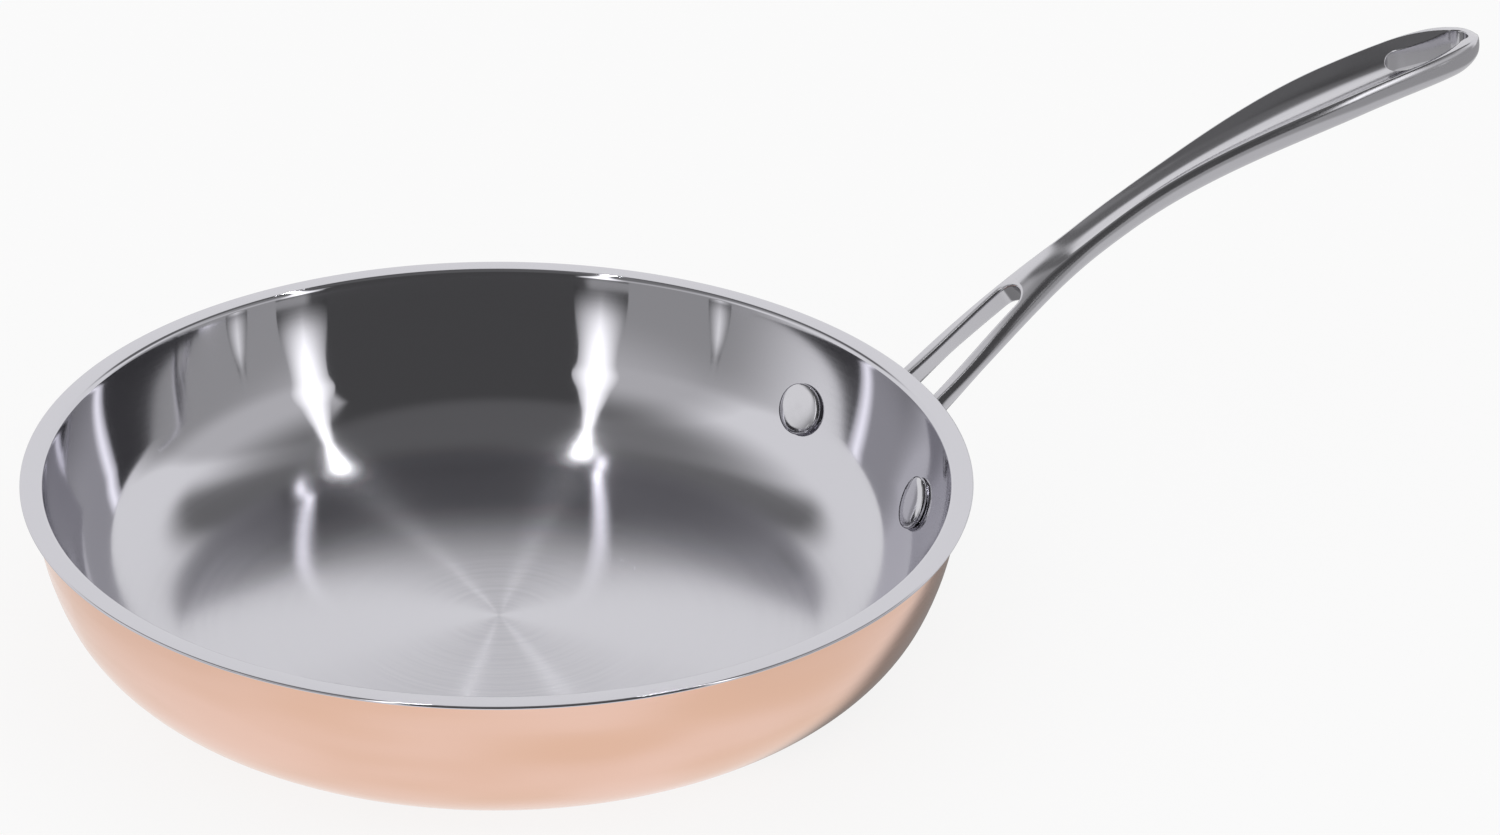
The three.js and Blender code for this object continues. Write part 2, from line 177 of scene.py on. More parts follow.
class PanStudio(bpy.types.PropertyGroup):
    """The camera, the floor and the tent's opening"""
    lens: FloatProperty(name="Lens", description="Focal length of the camera in millimetres", default=113.7456)
    roll: angle("Roll", "Turn of the camera about its own axis", 1.495)
    place: FloatVectorProperty(
        name="Place", description="Where the camera stands", default=(-0.47194, -0.95071, 0.60605), size=3,
        subtype="TRANSLATION", unit="LENGTH",
    )
    aim: FloatVectorProperty(
        name="Aim", description="Point in the middle of the picture", default=(0.06952, -0.00565, 0.0462), size=3,
        subtype="TRANSLATION", unit="LENGTH",
    )
    floor: colour("Floor", "Plain pale floor", "#F7F7F7")
    shade: FloatProperty(name="Shade", description="Level of the tent's dark opening, mirrored", default=0.085)


# Sizes that follow from how the handle is cast and the rivets are set. A reach is counted from the rim
ROOT_FLARE = 4 * MM
ROOT_DEPTH = 6.2 * MM
FLARE_REACH = 8 * MM
SPREAD_REACH = 5 * MM
NECK_REACH = 54 * MM
DEEPEN_REACH = 40 * MM
SWELL_REACH = 65 * MM
GRIP_BEFORE_TIP = 44 * MM
TIP_ROUNDING = 12 * MM
TIP_FALL = 1.8 * MM
TIP_FULLNESS = 4.4
ROUND_FULLNESS = 2
EDGE_INSET = 1.6 * MM
EDGE_DROP = 3 * MM
EDGE_SHARE = 0.25
BEVEL_SHARE = 0.3
NECK_CROWN = 1.2 * MM
FORK_REACH = 33.7 * MM
DISH_REACH = 37 * MM
DISH_FULL_BEFORE_TIP = 20 * MM
DISH_TIP_BORDER = 3.5 * MM
DISH_SOFTNESS = 0.06
DISH_FULLNESS = 4
DISH_LEAST_SHARE = 0.4
EYE_TIP_BORDER = 3.2 * MM
SLOT_BEVEL = 1.2 * MM
EYE_BEVEL = 0.3 * MM
SLOT_UNDER_BEVEL = 0.6 * MM
UNDERSIDE_POWER = 0.75
FOOT_CROWN = 22 * MM
FOOT_ROUNDING = 1.6 * MM
SEAT_GAP = 0.3 * MM
HEAD_EDGE = 0.6 * MM
TAIL_EDGE = 0.8 * MM
DOME_POWER = 2.4
SEAT_BEND = 20 * MM
TRIM_STEP = 0.06 * MM


def smoothstep(x, low, high):
    """0 below low, 1 above high, and the cubic 3t² - 2t³ between."""
    t = np.clip((x - low) / (high - low), 0, 1)
    return t * t * (3 - 2 * t)


def end_taper(x, low, high, fullness):
    """The square root of 1 - t^fullness: 1 before a rounded end starts, 0 where it ends."""
    t = np.clip((x - low) / (high - low), 0, 1)
    return np.sqrt(1 - t ** fullness)


def round_over(gap, radius):
    """How far a quarter round of this radius has fallen at a distance from the edge: r - √(r² - (r - gap)²)."""
    rest = radius - np.clip(gap, 0, radius)
    return radius - np.sqrt(np.maximum(radius ** 2 - rest ** 2, 0))


def arc(centre, radius, start, end, steps):
    """Points of an arc: centre + radius·(cos a, sin a), for a from start to end."""
    a = np.linspace(start, end, steps + 1)
    return np.stack([centre[0] + radius * np.cos(a), centre[1] + radius * np.sin(a)], axis=1)


def bowl_section(bowl):
    """Centres and angles of the bowl's section: a wall arc that runs on into a tighter base arc."""
    rim = bowl.rim_diameter / 2
    wall = (rim - bowl.lip_overhang - bowl.wall_bend, bowl.height)
    join = math.asin((bowl.height - bowl.base_bend) / (bowl.wall_bend - bowl.base_bend))
    base = (wall[0] + (bowl.wall_bend - bowl.base_bend) * math.cos(join), bowl.base_bend)
    inset = bowl.copper + bowl.core + 2 * bowl.bond_gap
    return SimpleNamespace(
        rim=rim, wall=wall, base=base, join=join, inset=inset, thickness=inset + bowl.steel,
        join_z=bowl.height - bowl.wall_bend * math.sin(join),
    )


def bowl_curve(bowl, inset, top):
    """Radius and height along the bowl's section, a set distance inside the copper's outer face."""
    part = bowl_section(bowl)
    top_angle = math.asin((bowl.height - top) / (bowl.wall_bend - inset))
    flat_radius = np.linspace(0, part.base[0], FLAT_STEPS + 1)[:-1]
    flat = np.stack([flat_radius, np.full(FLAT_STEPS, inset)], axis=1)
    return np.concatenate([
        flat,
        arc(part.base, bowl.base_bend - inset, -math.pi / 2, -part.join, BEND_STEPS),
        arc(part.wall, bowl.wall_bend - inset, -part.join, -top_angle, BEND_STEPS)[1:],
    ])


def wall_radius(bowl, z):
    """The copper's outer radius at a height: the wall arc above the join, the base arc below it."""
    part = bowl_section(bowl)
    upper = part.wall[0] + np.sqrt(np.maximum(bowl.wall_bend ** 2 - (z - part.wall[1]) ** 2, 0))
    lower = part.base[0] + np.sqrt(np.maximum(bowl.base_bend ** 2 - (z - part.base[1]) ** 2, 0))
    return np.where(z > part.join_z, upper, lower)


def lathe(profile, steps):
    """A profile of radius and height turned about Z: (r cos a, r sin a, z). Returns the points as a grid."""
    a = np.linspace(0, 2 * math.pi, steps + 1)[None, :]
    r, z = profile[:, :1], profile[:, 1:]
    return np.stack([r * np.cos(a), r * np.sin(a), z + 0 * a], axis=2)


def grid_faces(rows, columns, start):
    """Quads over a grid of points, as four indices each: a point, the next row's, and their neighbours."""
    i, j = np.meshgrid(np.arange(rows - 1), np.arange(columns - 1), indexing="ij")
    a = (start + i * columns + j).ravel()
    return np.stack([a, a + columns, a + columns + 1, a + 1], axis=1)


def join_grids(grids):
    """Several grids of points as one list of points and one list of quads."""
    points = np.concatenate([grid.reshape(-1, 3) for grid in grids])
    sizes = [grid.shape[0] * grid.shape[1] for grid in grids]
    starts = np.concatenate([[0], np.cumsum(sizes)[:-1]])
    quads = [grid_faces(grid.shape[0], grid.shape[1], start) for grid, start in zip(grids, starts)]
    return points, np.concatenate(quads)


def make_piece(name, grids, material, node):
    """Puts grids of points into a mesh, closes its seams and poles, hangs it under the root body and hides the
    imported part it replaces.
    """
    points, quads = join_grids(grids)
    mesh = bpy.data.meshes.new(name)
    mesh.from_pydata(points, [], quads)
    shell = bmesh.new()
    shell.from_mesh(mesh)
    bmesh.ops.remove_doubles(shell, verts=shell.verts, dist=WELD)
    bmesh.ops.recalc_face_normals(shell, faces=shell.faces)
    open_edges = sum(1 for edge in shell.edges if not edge.is_manifold)
    shell.to_mesh(mesh)
    shell.free()
    if open_edges:
        raise RuntimeError(f"{name} is open along {open_edges} edges")
    mesh.shade_smooth()
    mesh.materials.append(material)
    piece = bpy.data.objects.new(name, mesh)
    bpy.context.collection.objects.link(piece)
    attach(piece, "root")
    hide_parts(node)
    return piece


# What a node does
TIMES = {"operation": "MULTIPLY"}
PLUS = {"operation": "ADD"}
LESS = {"operation": "SUBTRACT"}
LEAST = {"operation": "MINIMUM"}
MOST = {"operation": "MAXIMUM"}
LEAN = {"operation": "DOT_PRODUCT"}
SMOOTH = {"interpolation_type": "SMOOTHSTEP"}
NUMBER = {"data_type": "FLOAT"}
WHITE = (1, 1, 1, 1)
NOISE_LOW, NOISE_HIGH = 0.3, 0.7

# Patterns of the metals: a size across the rings and an arc in radians along them, or a count to the metre along
# X, Y and Z. A range is its low and high value, and then where it starts and ends, if that isn't a noise's own range
FINE_RELIEF = 0.00002
LOW_RELIEF = 0.0002
LINER_RINGS, LINER_RING_ARC = 0.9 * MM, 50
LINER_GRIT = (0.15, 0.06, 3 * MM, 14 * MM)
LINER_UNEVEN = (0.94, 1.06)
LINER_LIFT = (0.0, 0.26, 8 * MM, 46.2 * MM)
QUARTER_TURN = 0.25
COPPER_BANDS, COPPER_BAND_ARC = 16 * MM, 0.5
COPPER_RINGS, COPPER_RING_ARC = 1.1 * MM, 1.2
COPPER_ROUGHNESS = (0.15, 0.2)
HANDLE_LINES = (16.0, 1400.0, 60.0)
HANDLE_WAVES = 70.0
HANDLE_ROUGHNESS = (0.13, 0.18)
RIVET_DENTS = 250.0
RIVET_ROUGHNESS = (0.06, 0.14)
RIVET_LIFT = 0.16
CORE_SCRATCHES = 3300.0
CORE_ROUGHNESS = (0.35, 0.5)


def plug(tree, node, **inputs):
    """Sets or links each named input of a node. A node given as a value is linked by its first output."""
    for key, value in inputs.items():
        socket = node.inputs[int(key[1:])] if key[1:].isdigit() else node.inputs[key.replace("_", " ")]
        if isinstance(value, bpy.types.Node):
            value = value.outputs[0]
        if isinstance(value, bpy.types.NodeSocket):
            tree.links.new(value, socket)
        else:
            socket.default_value = value


def add_node(tree, kind, settings=None, **inputs):
    """Adds a shader node of a kind, gives it its settings, and sets or links each named input."""
    node = tree.nodes.new("ShaderNode" + kind)
    for key, value in (settings or {}).items():
        setattr(node, key, value)
    plug(tree, node, **inputs)
    return node


def empty_tree(holder):
    """The node tree of a material or world, with nothing in it."""
    holder.use_nodes = True
    holder.node_tree.nodes.clear()
    return holder.node_tree


def limits(low, high, start=NOISE_LOW, end=NOISE_HIGH):
    """The inputs that take a value from low, at start, to high, at end."""
    return {"From_Min": start, "From_Max": end, "To_Min": low, "To_Max": high}


def new_metal(name):
    """An empty metal: its tree, its shader and the Object coordinates that patterns are drawn on."""
    material = bpy.data.materials.new(name)
    material.use_nodes = True
    tree = material.node_tree
    shader = tree.nodes["Principled BSDF"]
    plug(tree, shader, Metallic=1)
    place = add_node(tree, "TexCoord").outputs["Object"]
    return material, tree, shader, place


def turned_place(tree, place, across, around):
    """Coordinates that follow a turned surface: radius and height over one size, angle over another."""
    axes = add_node(tree, "SeparateXYZ", Vector=place).outputs
    flat = add_node(tree, "CombineXYZ", X=axes["X"], Y=axes["Y"])
    radius = add_node(tree, "VectorMath", {"operation": "LENGTH"}, Vector=flat).outputs["Value"]
    turn = add_node(tree, "Math", {"operation": "ARCTAN2"}, _0=axes["Y"], _1=axes["X"])
    spun = add_node(tree, "CombineXYZ", X=radius, Y=axes["Z"], Z=turn)
    return add_node(tree, "VectorMath", TIMES, _0=spun, _1=(1 / across, 1 / across, 1 / around))


def lifted(tree, normal, amount):
    """A normal leant up by an amount, so that the surface mirrors what stands higher."""
    rise = add_node(tree, "CombineXYZ", Z=amount)
    leant = add_node(tree, "VectorMath", PLUS, _0=normal, _1=rise)
    return add_node(tree, "VectorMath", {"operation": "NORMALIZE"}, _0=leant)


def polished_steel(look):
    """Stainless steel, pressed and polished on a lathe: mirror-bright round the rings, drawn out across them."""
    material, tree, shader, place = new_metal("stainless_steel_lathe_polished")
    rounds = add_node(tree, "Tangent", {"direction_type": "RADIAL", "axis": "Z"})
    # Polishing rings are about 0.1 mm apart; they are drawn 0.9 mm apart, or they wouldn't show
    turned = turned_place(tree, place, LINER_RINGS, LINER_RING_ARC)
    rings = add_node(tree, "TexNoise", Vector=turned, Scale=1.0, Detail=2.0)
    # The flat floor keeps a little more of the grit than the wall
    height = add_node(tree, "SeparateXYZ", Vector=place).outputs["Z"]
    grit = add_node(tree, "MapRange", SMOOTH, Value=height, **limits(*LINER_GRIT))
    uneven = add_node(tree, "MapRange", SMOOTH, Value=rings, **limits(*LINER_UNEVEN))
    rough = add_node(tree, "Math", TIMES, _0=grit, _1=uneven)
    bump = add_node(tree, "Bump", Height=rings, Strength=0.01, Distance=FINE_RELIEF)
    # The real wall mirrors higher things than this section's slope would, most of all at the lip, so the shading
    # leans up
    lift = add_node(tree, "MapRange", SMOOTH, Value=height, **limits(*LINER_LIFT))
    plug(
        tree, shader, Base_Color=(*look.steel, 1), Anisotropic=1, Anisotropic_Rotation=QUARTER_TURN, Tangent=rounds,
        Roughness=rough, Normal=lifted(tree, bump, lift),
    )
    return material


def spun_copper(look):
    """Copper, spun and buffed: a warm satin mirror with rings round the bowl and slightly uneven tint."""
    material, tree, shader, place = new_metal("copper_spun_and_buffed")
    # Heat from buffing tints the copper in soft bands, about 16 mm high and 50 mm long
    bands = turned_place(tree, place, COPPER_BANDS, COPPER_BAND_ARC)
    tint = add_node(tree, "TexNoise", Vector=bands, Scale=1.0, Detail=1.0)
    share = add_node(tree, "MapRange", SMOOTH, Value=tint, **limits(0.0, 1.0))
    colours = {"_6": (*look.copper, 1), "_7": (*look.copper_deep, 1)}
    mix = add_node(tree, "Mix", {"data_type": "RGBA"}, _0=share, **colours)
    # Spinning marks are about 0.2 mm apart; they are drawn 1.1 mm apart, or they wouldn't show
    turned = turned_place(tree, place, COPPER_RINGS, COPPER_RING_ARC)
    rings = add_node(tree, "TexNoise", Vector=turned, Scale=1.0, Detail=3.0)
    rough = add_node(tree, "MapRange", SMOOTH, Value=rings, **limits(*COPPER_ROUGHNESS))
    bump = add_node(tree, "Bump", Height=rings, Strength=0.08, Distance=FINE_RELIEF)
    plug(tree, shader, Base_Color=mix.outputs[2], Roughness=rough, Normal=bump)
    return material


def cast_steel(look):
    """Stainless steel, cast and polished along its length: bright, with a slight waviness left by the wheel."""
    material, tree, shader, place = new_metal("stainless_steel_cast_and_polished")
    # Belt lines run along the handle, about 0.2 mm apart; they are drawn 0.7 mm apart and 60 mm long
    along = add_node(tree, "VectorMath", TIMES, _0=place, _1=HANDLE_LINES)
    lines = add_node(tree, "TexNoise", Vector=along, Scale=1.0, Detail=2.0)
    # The wheel leaves low waves about 14 mm long
    waves = add_node(tree, "TexNoise", Vector=place, Scale=HANDLE_WAVES, Detail=1.0)
    rough = add_node(tree, "MapRange", SMOOTH, Value=lines, **limits(*HANDLE_ROUGHNESS))
    fine = add_node(tree, "Bump", Height=lines, Strength=0.02, Distance=FINE_RELIEF)
    bump = add_node(tree, "Bump", Height=waves, Strength=0.06, Distance=LOW_RELIEF, Normal=fine)
    plug(tree, shader, Base_Color=(*look.handle, 1), Roughness=rough, Normal=bump)
    return material


def burnished_rivet(look):
    """Stainless steel, headed and burnished: bright domes with small dents from the setting tool."""
    material, tree, shader, place = new_metal("stainless_steel_headed_and_burnished")
    # The setting tool leaves shallow dents about 4 mm across
    dents = add_node(tree, "TexNoise", Vector=place, Scale=RIVET_DENTS, Detail=1.0)
    rough = add_node(tree, "MapRange", SMOOTH, Value=dents, **limits(*RIVET_ROUGHNESS))
    bump = add_node(tree, "Bump", Height=dents, Strength=0.15, Distance=LOW_RELIEF)
    # The heads' shading leans up, as the wall's does
    plug(tree, shader, Base_Color=(*look.rivet, 1), Roughness=rough, Normal=lifted(tree, bump, RIVET_LIFT))
    return material


def rolled_aluminium(look):
    """Aluminium, rolled and trimmed: a dull pale edge with fine scratches, seen only under the lip."""
    material, tree, shader, place = new_metal("aluminium_rolled_and_trimmed")
    # Rolling scratches are about 0.3 mm apart
    scratches = add_node(tree, "TexNoise", Vector=place, Scale=CORE_SCRATCHES, Detail=2.0)
    rough = add_node(tree, "MapRange", SMOOTH, Value=scratches, **limits(*CORE_ROUGHNESS))
    plug(tree, shader, Base_Color=(*look.core, 1), Roughness=rough)
    return material


def outer_ply(bowl, inset, thickness):
    """A ply of even thickness that ends under the lip: its outer section up, a flat top edge, its inner one down."""
    top = bowl.height - bowl.steel - bowl.lip_bend - bowl.bond_gap
    outside = bowl_curve(bowl, inset, top)
    inside = bowl_curve(bowl, inset + thickness, top)
    corners = np.array([[outside[-1, 0] - TRIM_STEP, top], [inside[-1, 0] + TRIM_STEP, top]])
    return lathe(np.concatenate([outside, corners, inside[::-1]]), ROUND_STEPS)


def liner_ply(bowl):
    """The inner ply: its section turned out over a small bend into a flat lip with a rounded edge."""
    part = bowl_section(bowl)
    turn_top = bowl.height - bowl.steel - bowl.lip_bend
    outside = bowl_curve(bowl, part.inset, turn_top)
    inside = bowl_curve(bowl, part.thickness, turn_top)
    turn = (outside[-1, 0] + bowl.lip_bend, turn_top)
    edge = (part.rim - bowl.steel / 2, bowl.height - bowl.steel / 2)
    return lathe(np.concatenate([
        outside,
        arc(turn, bowl.lip_bend, math.pi, math.pi / 2, LIP_STEPS)[1:],
        arc(edge, bowl.steel / 2, -math.pi / 2, math.pi / 2, 2 * LIP_STEPS),
        arc(turn, bowl.lip_bend + bowl.steel, math.pi / 2, math.pi, LIP_STEPS)[:-1],
        inside[::-1],
    ]), ROUND_STEPS)


def rivet_seat(bowl, rivets):
    """Where the rivets cross the copper: radius, height, the wall's slope there and their angle about Z."""
    part = bowl_section(bowl)
    slope = math.asin(rivets.drop / bowl.wall_bend)
    radius = part.wall[0] + bowl.wall_bend * math.cos(slope)
    height = part.wall[1] - bowl.wall_bend * math.sin(slope)
    turn = math.asin(rivets.spacing / 2 / radius)
    return SimpleNamespace(radius=radius, height=height, slope=slope, turn=turn)


def dome(radius, edge, height, steps):
    """A low dome from its rim to its crown: over a straight edge it rises as (1 - t^p)^(1/p) of its height."""
    t = np.sin(np.linspace(math.pi / 2, 0, steps + 1))
    rise = edge + (height - edge) * np.maximum(1 - t ** DOME_POWER, 0) ** (1 / DOME_POWER)
    return np.stack([radius * t, rise], axis=1)


def rivet_surface(bowl, rivets, handle, side):
    """A rivet as set: a profile of head, shank and tail turned about its own axis, its head bent to the wall."""
    part = bowl_section(bowl)
    seat = rivet_seat(bowl, rivets)
    head_base = -(part.thickness + SEAT_GAP)
    tail_base = handle.foot_end + 2 * SEAT_GAP
    shank = rivets.shank / 2
    head = dome(rivets.head / 2, HEAD_EDGE, rivets.head_height, HEAD_STEPS) * (1, -1) + (0, head_base)
    tail = dome(rivets.tail / 2, TAIL_EDGE, rivets.tail_height, TAIL_STEPS) + (0, tail_base)
    collar = np.array([
        [rivets.head / 2, head_base], [shank, head_base], [shank, tail_base], [rivets.tail / 2, tail_base],
    ])
    profile = np.concatenate([head[::-1], collar, tail])
    a = np.linspace(0, 2 * math.pi, RIVET_ROUND_STEPS + 1)[None, :]
    out, up = profile[:, :1], profile[:, 1:]
    # The bowl's inner face draws in beside the rivet by d²/2R, with its own radius R along and across the wall
    along, across = out * np.cos(a), out * np.sin(a)
    bend = across ** 2 / (2 * seat.radius) + along ** 2 / (2 * (bowl.base_bend + SEAT_BEND))
    up = up - np.where(up < head_base / 2, bend, 0)
    turn = side * seat.turn
    flat = math.cos(seat.slope)
    normal = np.array([flat * math.cos(turn), flat * math.sin(turn), -math.sin(seat.slope)])
    level = np.array([-math.sin(turn), math.cos(turn), 0])
    rising = np.cross(normal, level)
    start = np.array([seat.radius * math.cos(turn), seat.radius * math.sin(turn), seat.height])
    return start + up[..., None] * normal + across[..., None] * level + along[..., None] * rising


def handle_frame(bowl, rivets, handle):
    """Sizes that the handle's surfaces share, and its upper line as a table by length along it.

    The line is a cubic curve: (1-t)³A + 3(1-t)²tB + 3(1-t)t²C + t³D, from inside the wall to the tip.
    """
    part = bowl_section(bowl)
    seat = rivet_seat(bowl, rivets)
    tip = np.array([part.rim + handle.reach, bowl.height + handle.rise])
    root = np.array([seat.radius, seat.height + handle.lift])
    leg = np.array([math.cos(handle.leg_angle), math.sin(handle.leg_angle)])
    end = np.array([math.cos(handle.tip_angle), math.sin(handle.tip_angle)])
    corners = [root, root + handle.leg_pull * leg, tip - handle.tip_pull * end, tip]
    t = np.linspace(0, 1, LINE_STEPS + 1)[:, None]
    weights = [(1 - t) ** 3, 3 * (1 - t) ** 2 * t, 3 * (1 - t) * t ** 2, t ** 3]
    line = sum(weight * corner for weight, corner in zip(weights, corners))
    slopes = [3 * (1 - t) ** 2, 6 * (1 - t) * t, 3 * t ** 2]
    along = sum(slope * (b - a) for slope, a, b in zip(slopes, corners, corners[1:]))
    along = along / np.linalg.norm(along, axis=1, keepdims=True)
    run = np.concatenate([[0], np.cumsum(np.linalg.norm(np.diff(line, axis=0), axis=1))])
    crotch_x = part.rim + FORK_REACH
    narrow = handle.eye_tip_width / 2
    wide = handle.eye_width / 2
    return SimpleNamespace(
        bowl=bowl, handle=handle, seat=seat, rim=part.rim, tip=tip, line=line, along=along, run=run,
        spread_x=part.rim + SPREAD_REACH, crotch_x=crotch_x, neck_x=part.rim + NECK_REACH,
        deepen_x=part.rim + DEEPEN_REACH, swell_x=part.rim + SWELL_REACH, grip_x=tip[0] - GRIP_BEFORE_TIP,
        dish_x=part.rim + DISH_REACH, dish_full_x=tip[0] - DISH_FULL_BEFORE_TIP, dish_end_x=tip[0] - DISH_TIP_BORDER,
        crotch=handle.crotch_width / 2, crotch_run=np.interp(crotch_x, line[:, 0], run),
        narrow=narrow, wide=wide, apart=handle.eye_length - wide - narrow,
        eye_run=np.interp(tip[0] - EYE_TIP_BORDER - narrow, line[:, 0], run),
    )


def half_width(h, x):
    """Half the handle's width: flared on the wall, wide at the fork, slim at the neck, widest in the grip."""
    size = h.handle
    flare = ROOT_FLARE * (1 - smoothstep(x, h.seat.radius, h.rim + FLARE_REACH)) ** 2
    fork = size.fork_width + (size.neck_width - size.fork_width) * smoothstep(x, h.spread_x, h.neck_x)
    grip = smoothstep(x, h.swell_x, h.grip_x) * (size.grip_width - size.neck_width)
    return flare + (fork + grip) / 2 * end_taper(x, h.grip_x, h.tip[0], TIP_FULLNESS)


def depth(h, x):
    """The handle's depth: more at the wall, less in the legs, growing to the grip and rounded off at the tip."""
    size = h.handle
    root = (ROOT_DEPTH - size.leg_depth) * (1 - smoothstep(x, h.rim, (h.rim + h.crotch_x) / 2))
    stem = size.leg_depth + (size.neck_depth - size.leg_depth) * smoothstep(x, h.spread_x, h.neck_x)
    grip = smoothstep(x, h.deepen_x, h.grip_x) * (size.grip_depth - size.neck_depth)
    return (root + stem + grip) * tip_taper(h, x)


def tip_taper(h, x):
    """How much of the full depth is left where the tip is rounded off above and below."""
    return end_taper(x, h.tip[0] - TIP_ROUNDING, h.tip[0], ROUND_FULLNESS)


def fork_gap(h, s, y):
    """Distance outside the fork's gap: from its straight sides, or from the round end at the crotch."""
    straight = np.abs(y) - fork_half(h, s)
    rounded = np.hypot(s - h.crotch_run + h.crotch, y) - h.crotch
    return np.where(s < h.crotch_run - h.crotch, straight, rounded)


def fork_half(h, s):
    """Half the width of the fork's gap: a half circle at the crotch, then straight sides that spread."""
    back = h.crotch_run - s
    room = FORK_REACH + h.rim - h.seat.radius
    lean = (h.handle.fork_gap - h.handle.crotch_width) / 2 / FORK_REACH * room / (room - h.crotch)
    end = np.sqrt(np.maximum(h.crotch ** 2 - (h.crotch - np.clip(back, 0, None)) ** 2, 0))
    return np.where(back > h.crotch, h.crotch + lean * (back - h.crotch), end)


def eye_gap(h, s, y):
    """Distance outside the eye: from the nearer of its two round ends, or from the straight side between them."""
    out, far = np.abs(y), s - h.eye_run + h.apart
    lean = (h.wide - h.narrow) / h.apart
    square = math.sqrt(1 - lean ** 2)
    place = square * far - lean * out
    side = square * out + lean * far - h.wide
    near_end = np.hypot(out, far) - h.wide
    tip_end = np.hypot(out, far - h.apart) - h.narrow
    return np.where(place < 0, near_end, np.where(place > square * h.apart, tip_end, side))


def eye_half(h, s):
    """Half the eye's width: its wide round end, its straight sides, its narrow round end, and 0 outside it."""
    far = s - h.eye_run + h.apart
    lean = (h.wide - h.narrow) / h.apart
    near_end = np.sqrt(np.maximum(h.wide ** 2 - far ** 2, 0))
    tip_end = np.sqrt(np.maximum(h.narrow ** 2 - (far - h.apart) ** 2, 0))
    side = (h.wide - lean * far) / math.sqrt(1 - lean ** 2)
    return np.where(far < h.wide * lean, near_end, np.where(far > h.apart + h.narrow * lean, tip_end, side))


def top_height(h, s, x, y):
    """Height of the handle's top over its upper line.

    A rounded neck and a hollowed grip, less the round at the outer edge, at the fork and at the eye:
    crown·(1 - (y/w)²) - tip fall - edge round - sink·(1 - (y/b)²) where that is above 0, with a soft brink.
    """
    w = np.maximum(half_width(h, x), LEAST_WIDTH)
    deep = depth(h, x)
    edge = np.minimum(EDGE_DROP, deep / 2)
    brink = np.minimum(EDGE_INSET, EDGE_SHARE * w)
    crown = NECK_CROWN * smoothstep(x, h.spread_x, h.crotch_x) * (1 - smoothstep(x, h.dish_x, h.neck_x))
    start = np.clip((x - h.dish_x) / (h.dish_full_x - h.dish_x), 0, 1)
    sink = h.handle.dish_depth * start * end_taper(x, h.grip_x, h.dish_end_x, TIP_FULLNESS)
    border = (w - h.handle.dish_border) * end_taper(x, h.grip_x, h.dish_end_x, DISH_FULLNESS)
    bowl = 1 - (y / np.maximum(DISH_LEAST_SHARE * w, border)) ** 2
    hollow = sink * (bowl + np.sqrt(bowl ** 2 + DISH_SOFTNESS ** 2)) / 2
    turn = np.clip(1 - (w - np.abs(y)) / brink, 0, 1)
    rounding = edge * (1 - np.sqrt(1 - turn ** 2))
    bevel = round_over(fork_gap(h, s, y), SLOT_BEVEL) + round_over(eye_gap(h, s, y), EYE_BEVEL)
    return crown * (1 - (y / w) ** 2) - TIP_FALL * (1 - tip_taper(h, x)) - rounding - hollow - bevel


def underside_height(h, s, x, y, lowness):
    """Height of the handle's underside: it falls from the edge as sin(a)^0.75 while its width is cos(a)^0.75."""
    deep = depth(h, x)
    edge = np.minimum(EDGE_DROP, deep / 2)
    bevel = round_over(fork_gap(h, s, y), SLOT_UNDER_BEVEL) + round_over(eye_gap(h, s, y), SLOT_UNDER_BEVEL)
    return -TIP_FALL * (1 - tip_taper(h, x)) - edge - (deep - edge) * lowness + bevel


def handle_stations(h):
    """Lengths along the upper line where its sections stand, drawn together at the slots' ends and at the tip."""
    quarter = np.linspace(0, math.pi / 2, SLOT_END_STATIONS)
    rise, fall = np.sin(quarter), 1 - np.cos(quarter)
    eye_start = h.eye_run - h.apart - h.wide
    eye_end = h.eye_run + h.narrow
    fork_end = h.crotch_run - h.crotch
    total = h.run[-1]
    return np.unique(np.concatenate([
        np.linspace(0, fork_end, LEG_STATIONS),
        fork_end + h.crotch * rise,
        h.crotch_run + SLOT_BEVEL * fall,
        np.linspace(h.crotch_run + SLOT_BEVEL, eye_start - EYE_BEVEL, GRIP_STATIONS),
        eye_start - EYE_BEVEL * fall,
        eye_start + h.wide * fall,
        np.linspace(eye_start + h.wide, h.eye_run, EYE_STATIONS),
        h.eye_run + h.narrow * rise,
        eye_end + EYE_BEVEL * fall,
        total - (total - eye_end - EYE_BEVEL) * (1 - rise),
    ]).round(STATION_DIGITS))


def place_on_line(h, s, y, up):
    """Points beside the upper line: out by y, and up square to the line, but never inside the bowl's wall."""
    at = [np.interp(s, h.run, h.line[:, i]) for i in (0, 1)]
    way = [np.interp(s, h.run, h.along[:, i]) for i in (0, 1)]
    x = at[0] - up * way[1]
    z = at[1] + up * way[0]
    wall = wall_radius(h.bowl, np.minimum(z, h.bowl.height)) + SEAT_GAP
    x = np.maximum(x, np.sqrt(np.maximum(wall ** 2 - y ** 2, 0)))
    return np.stack([x, y + 0 * x, z], axis=-1)


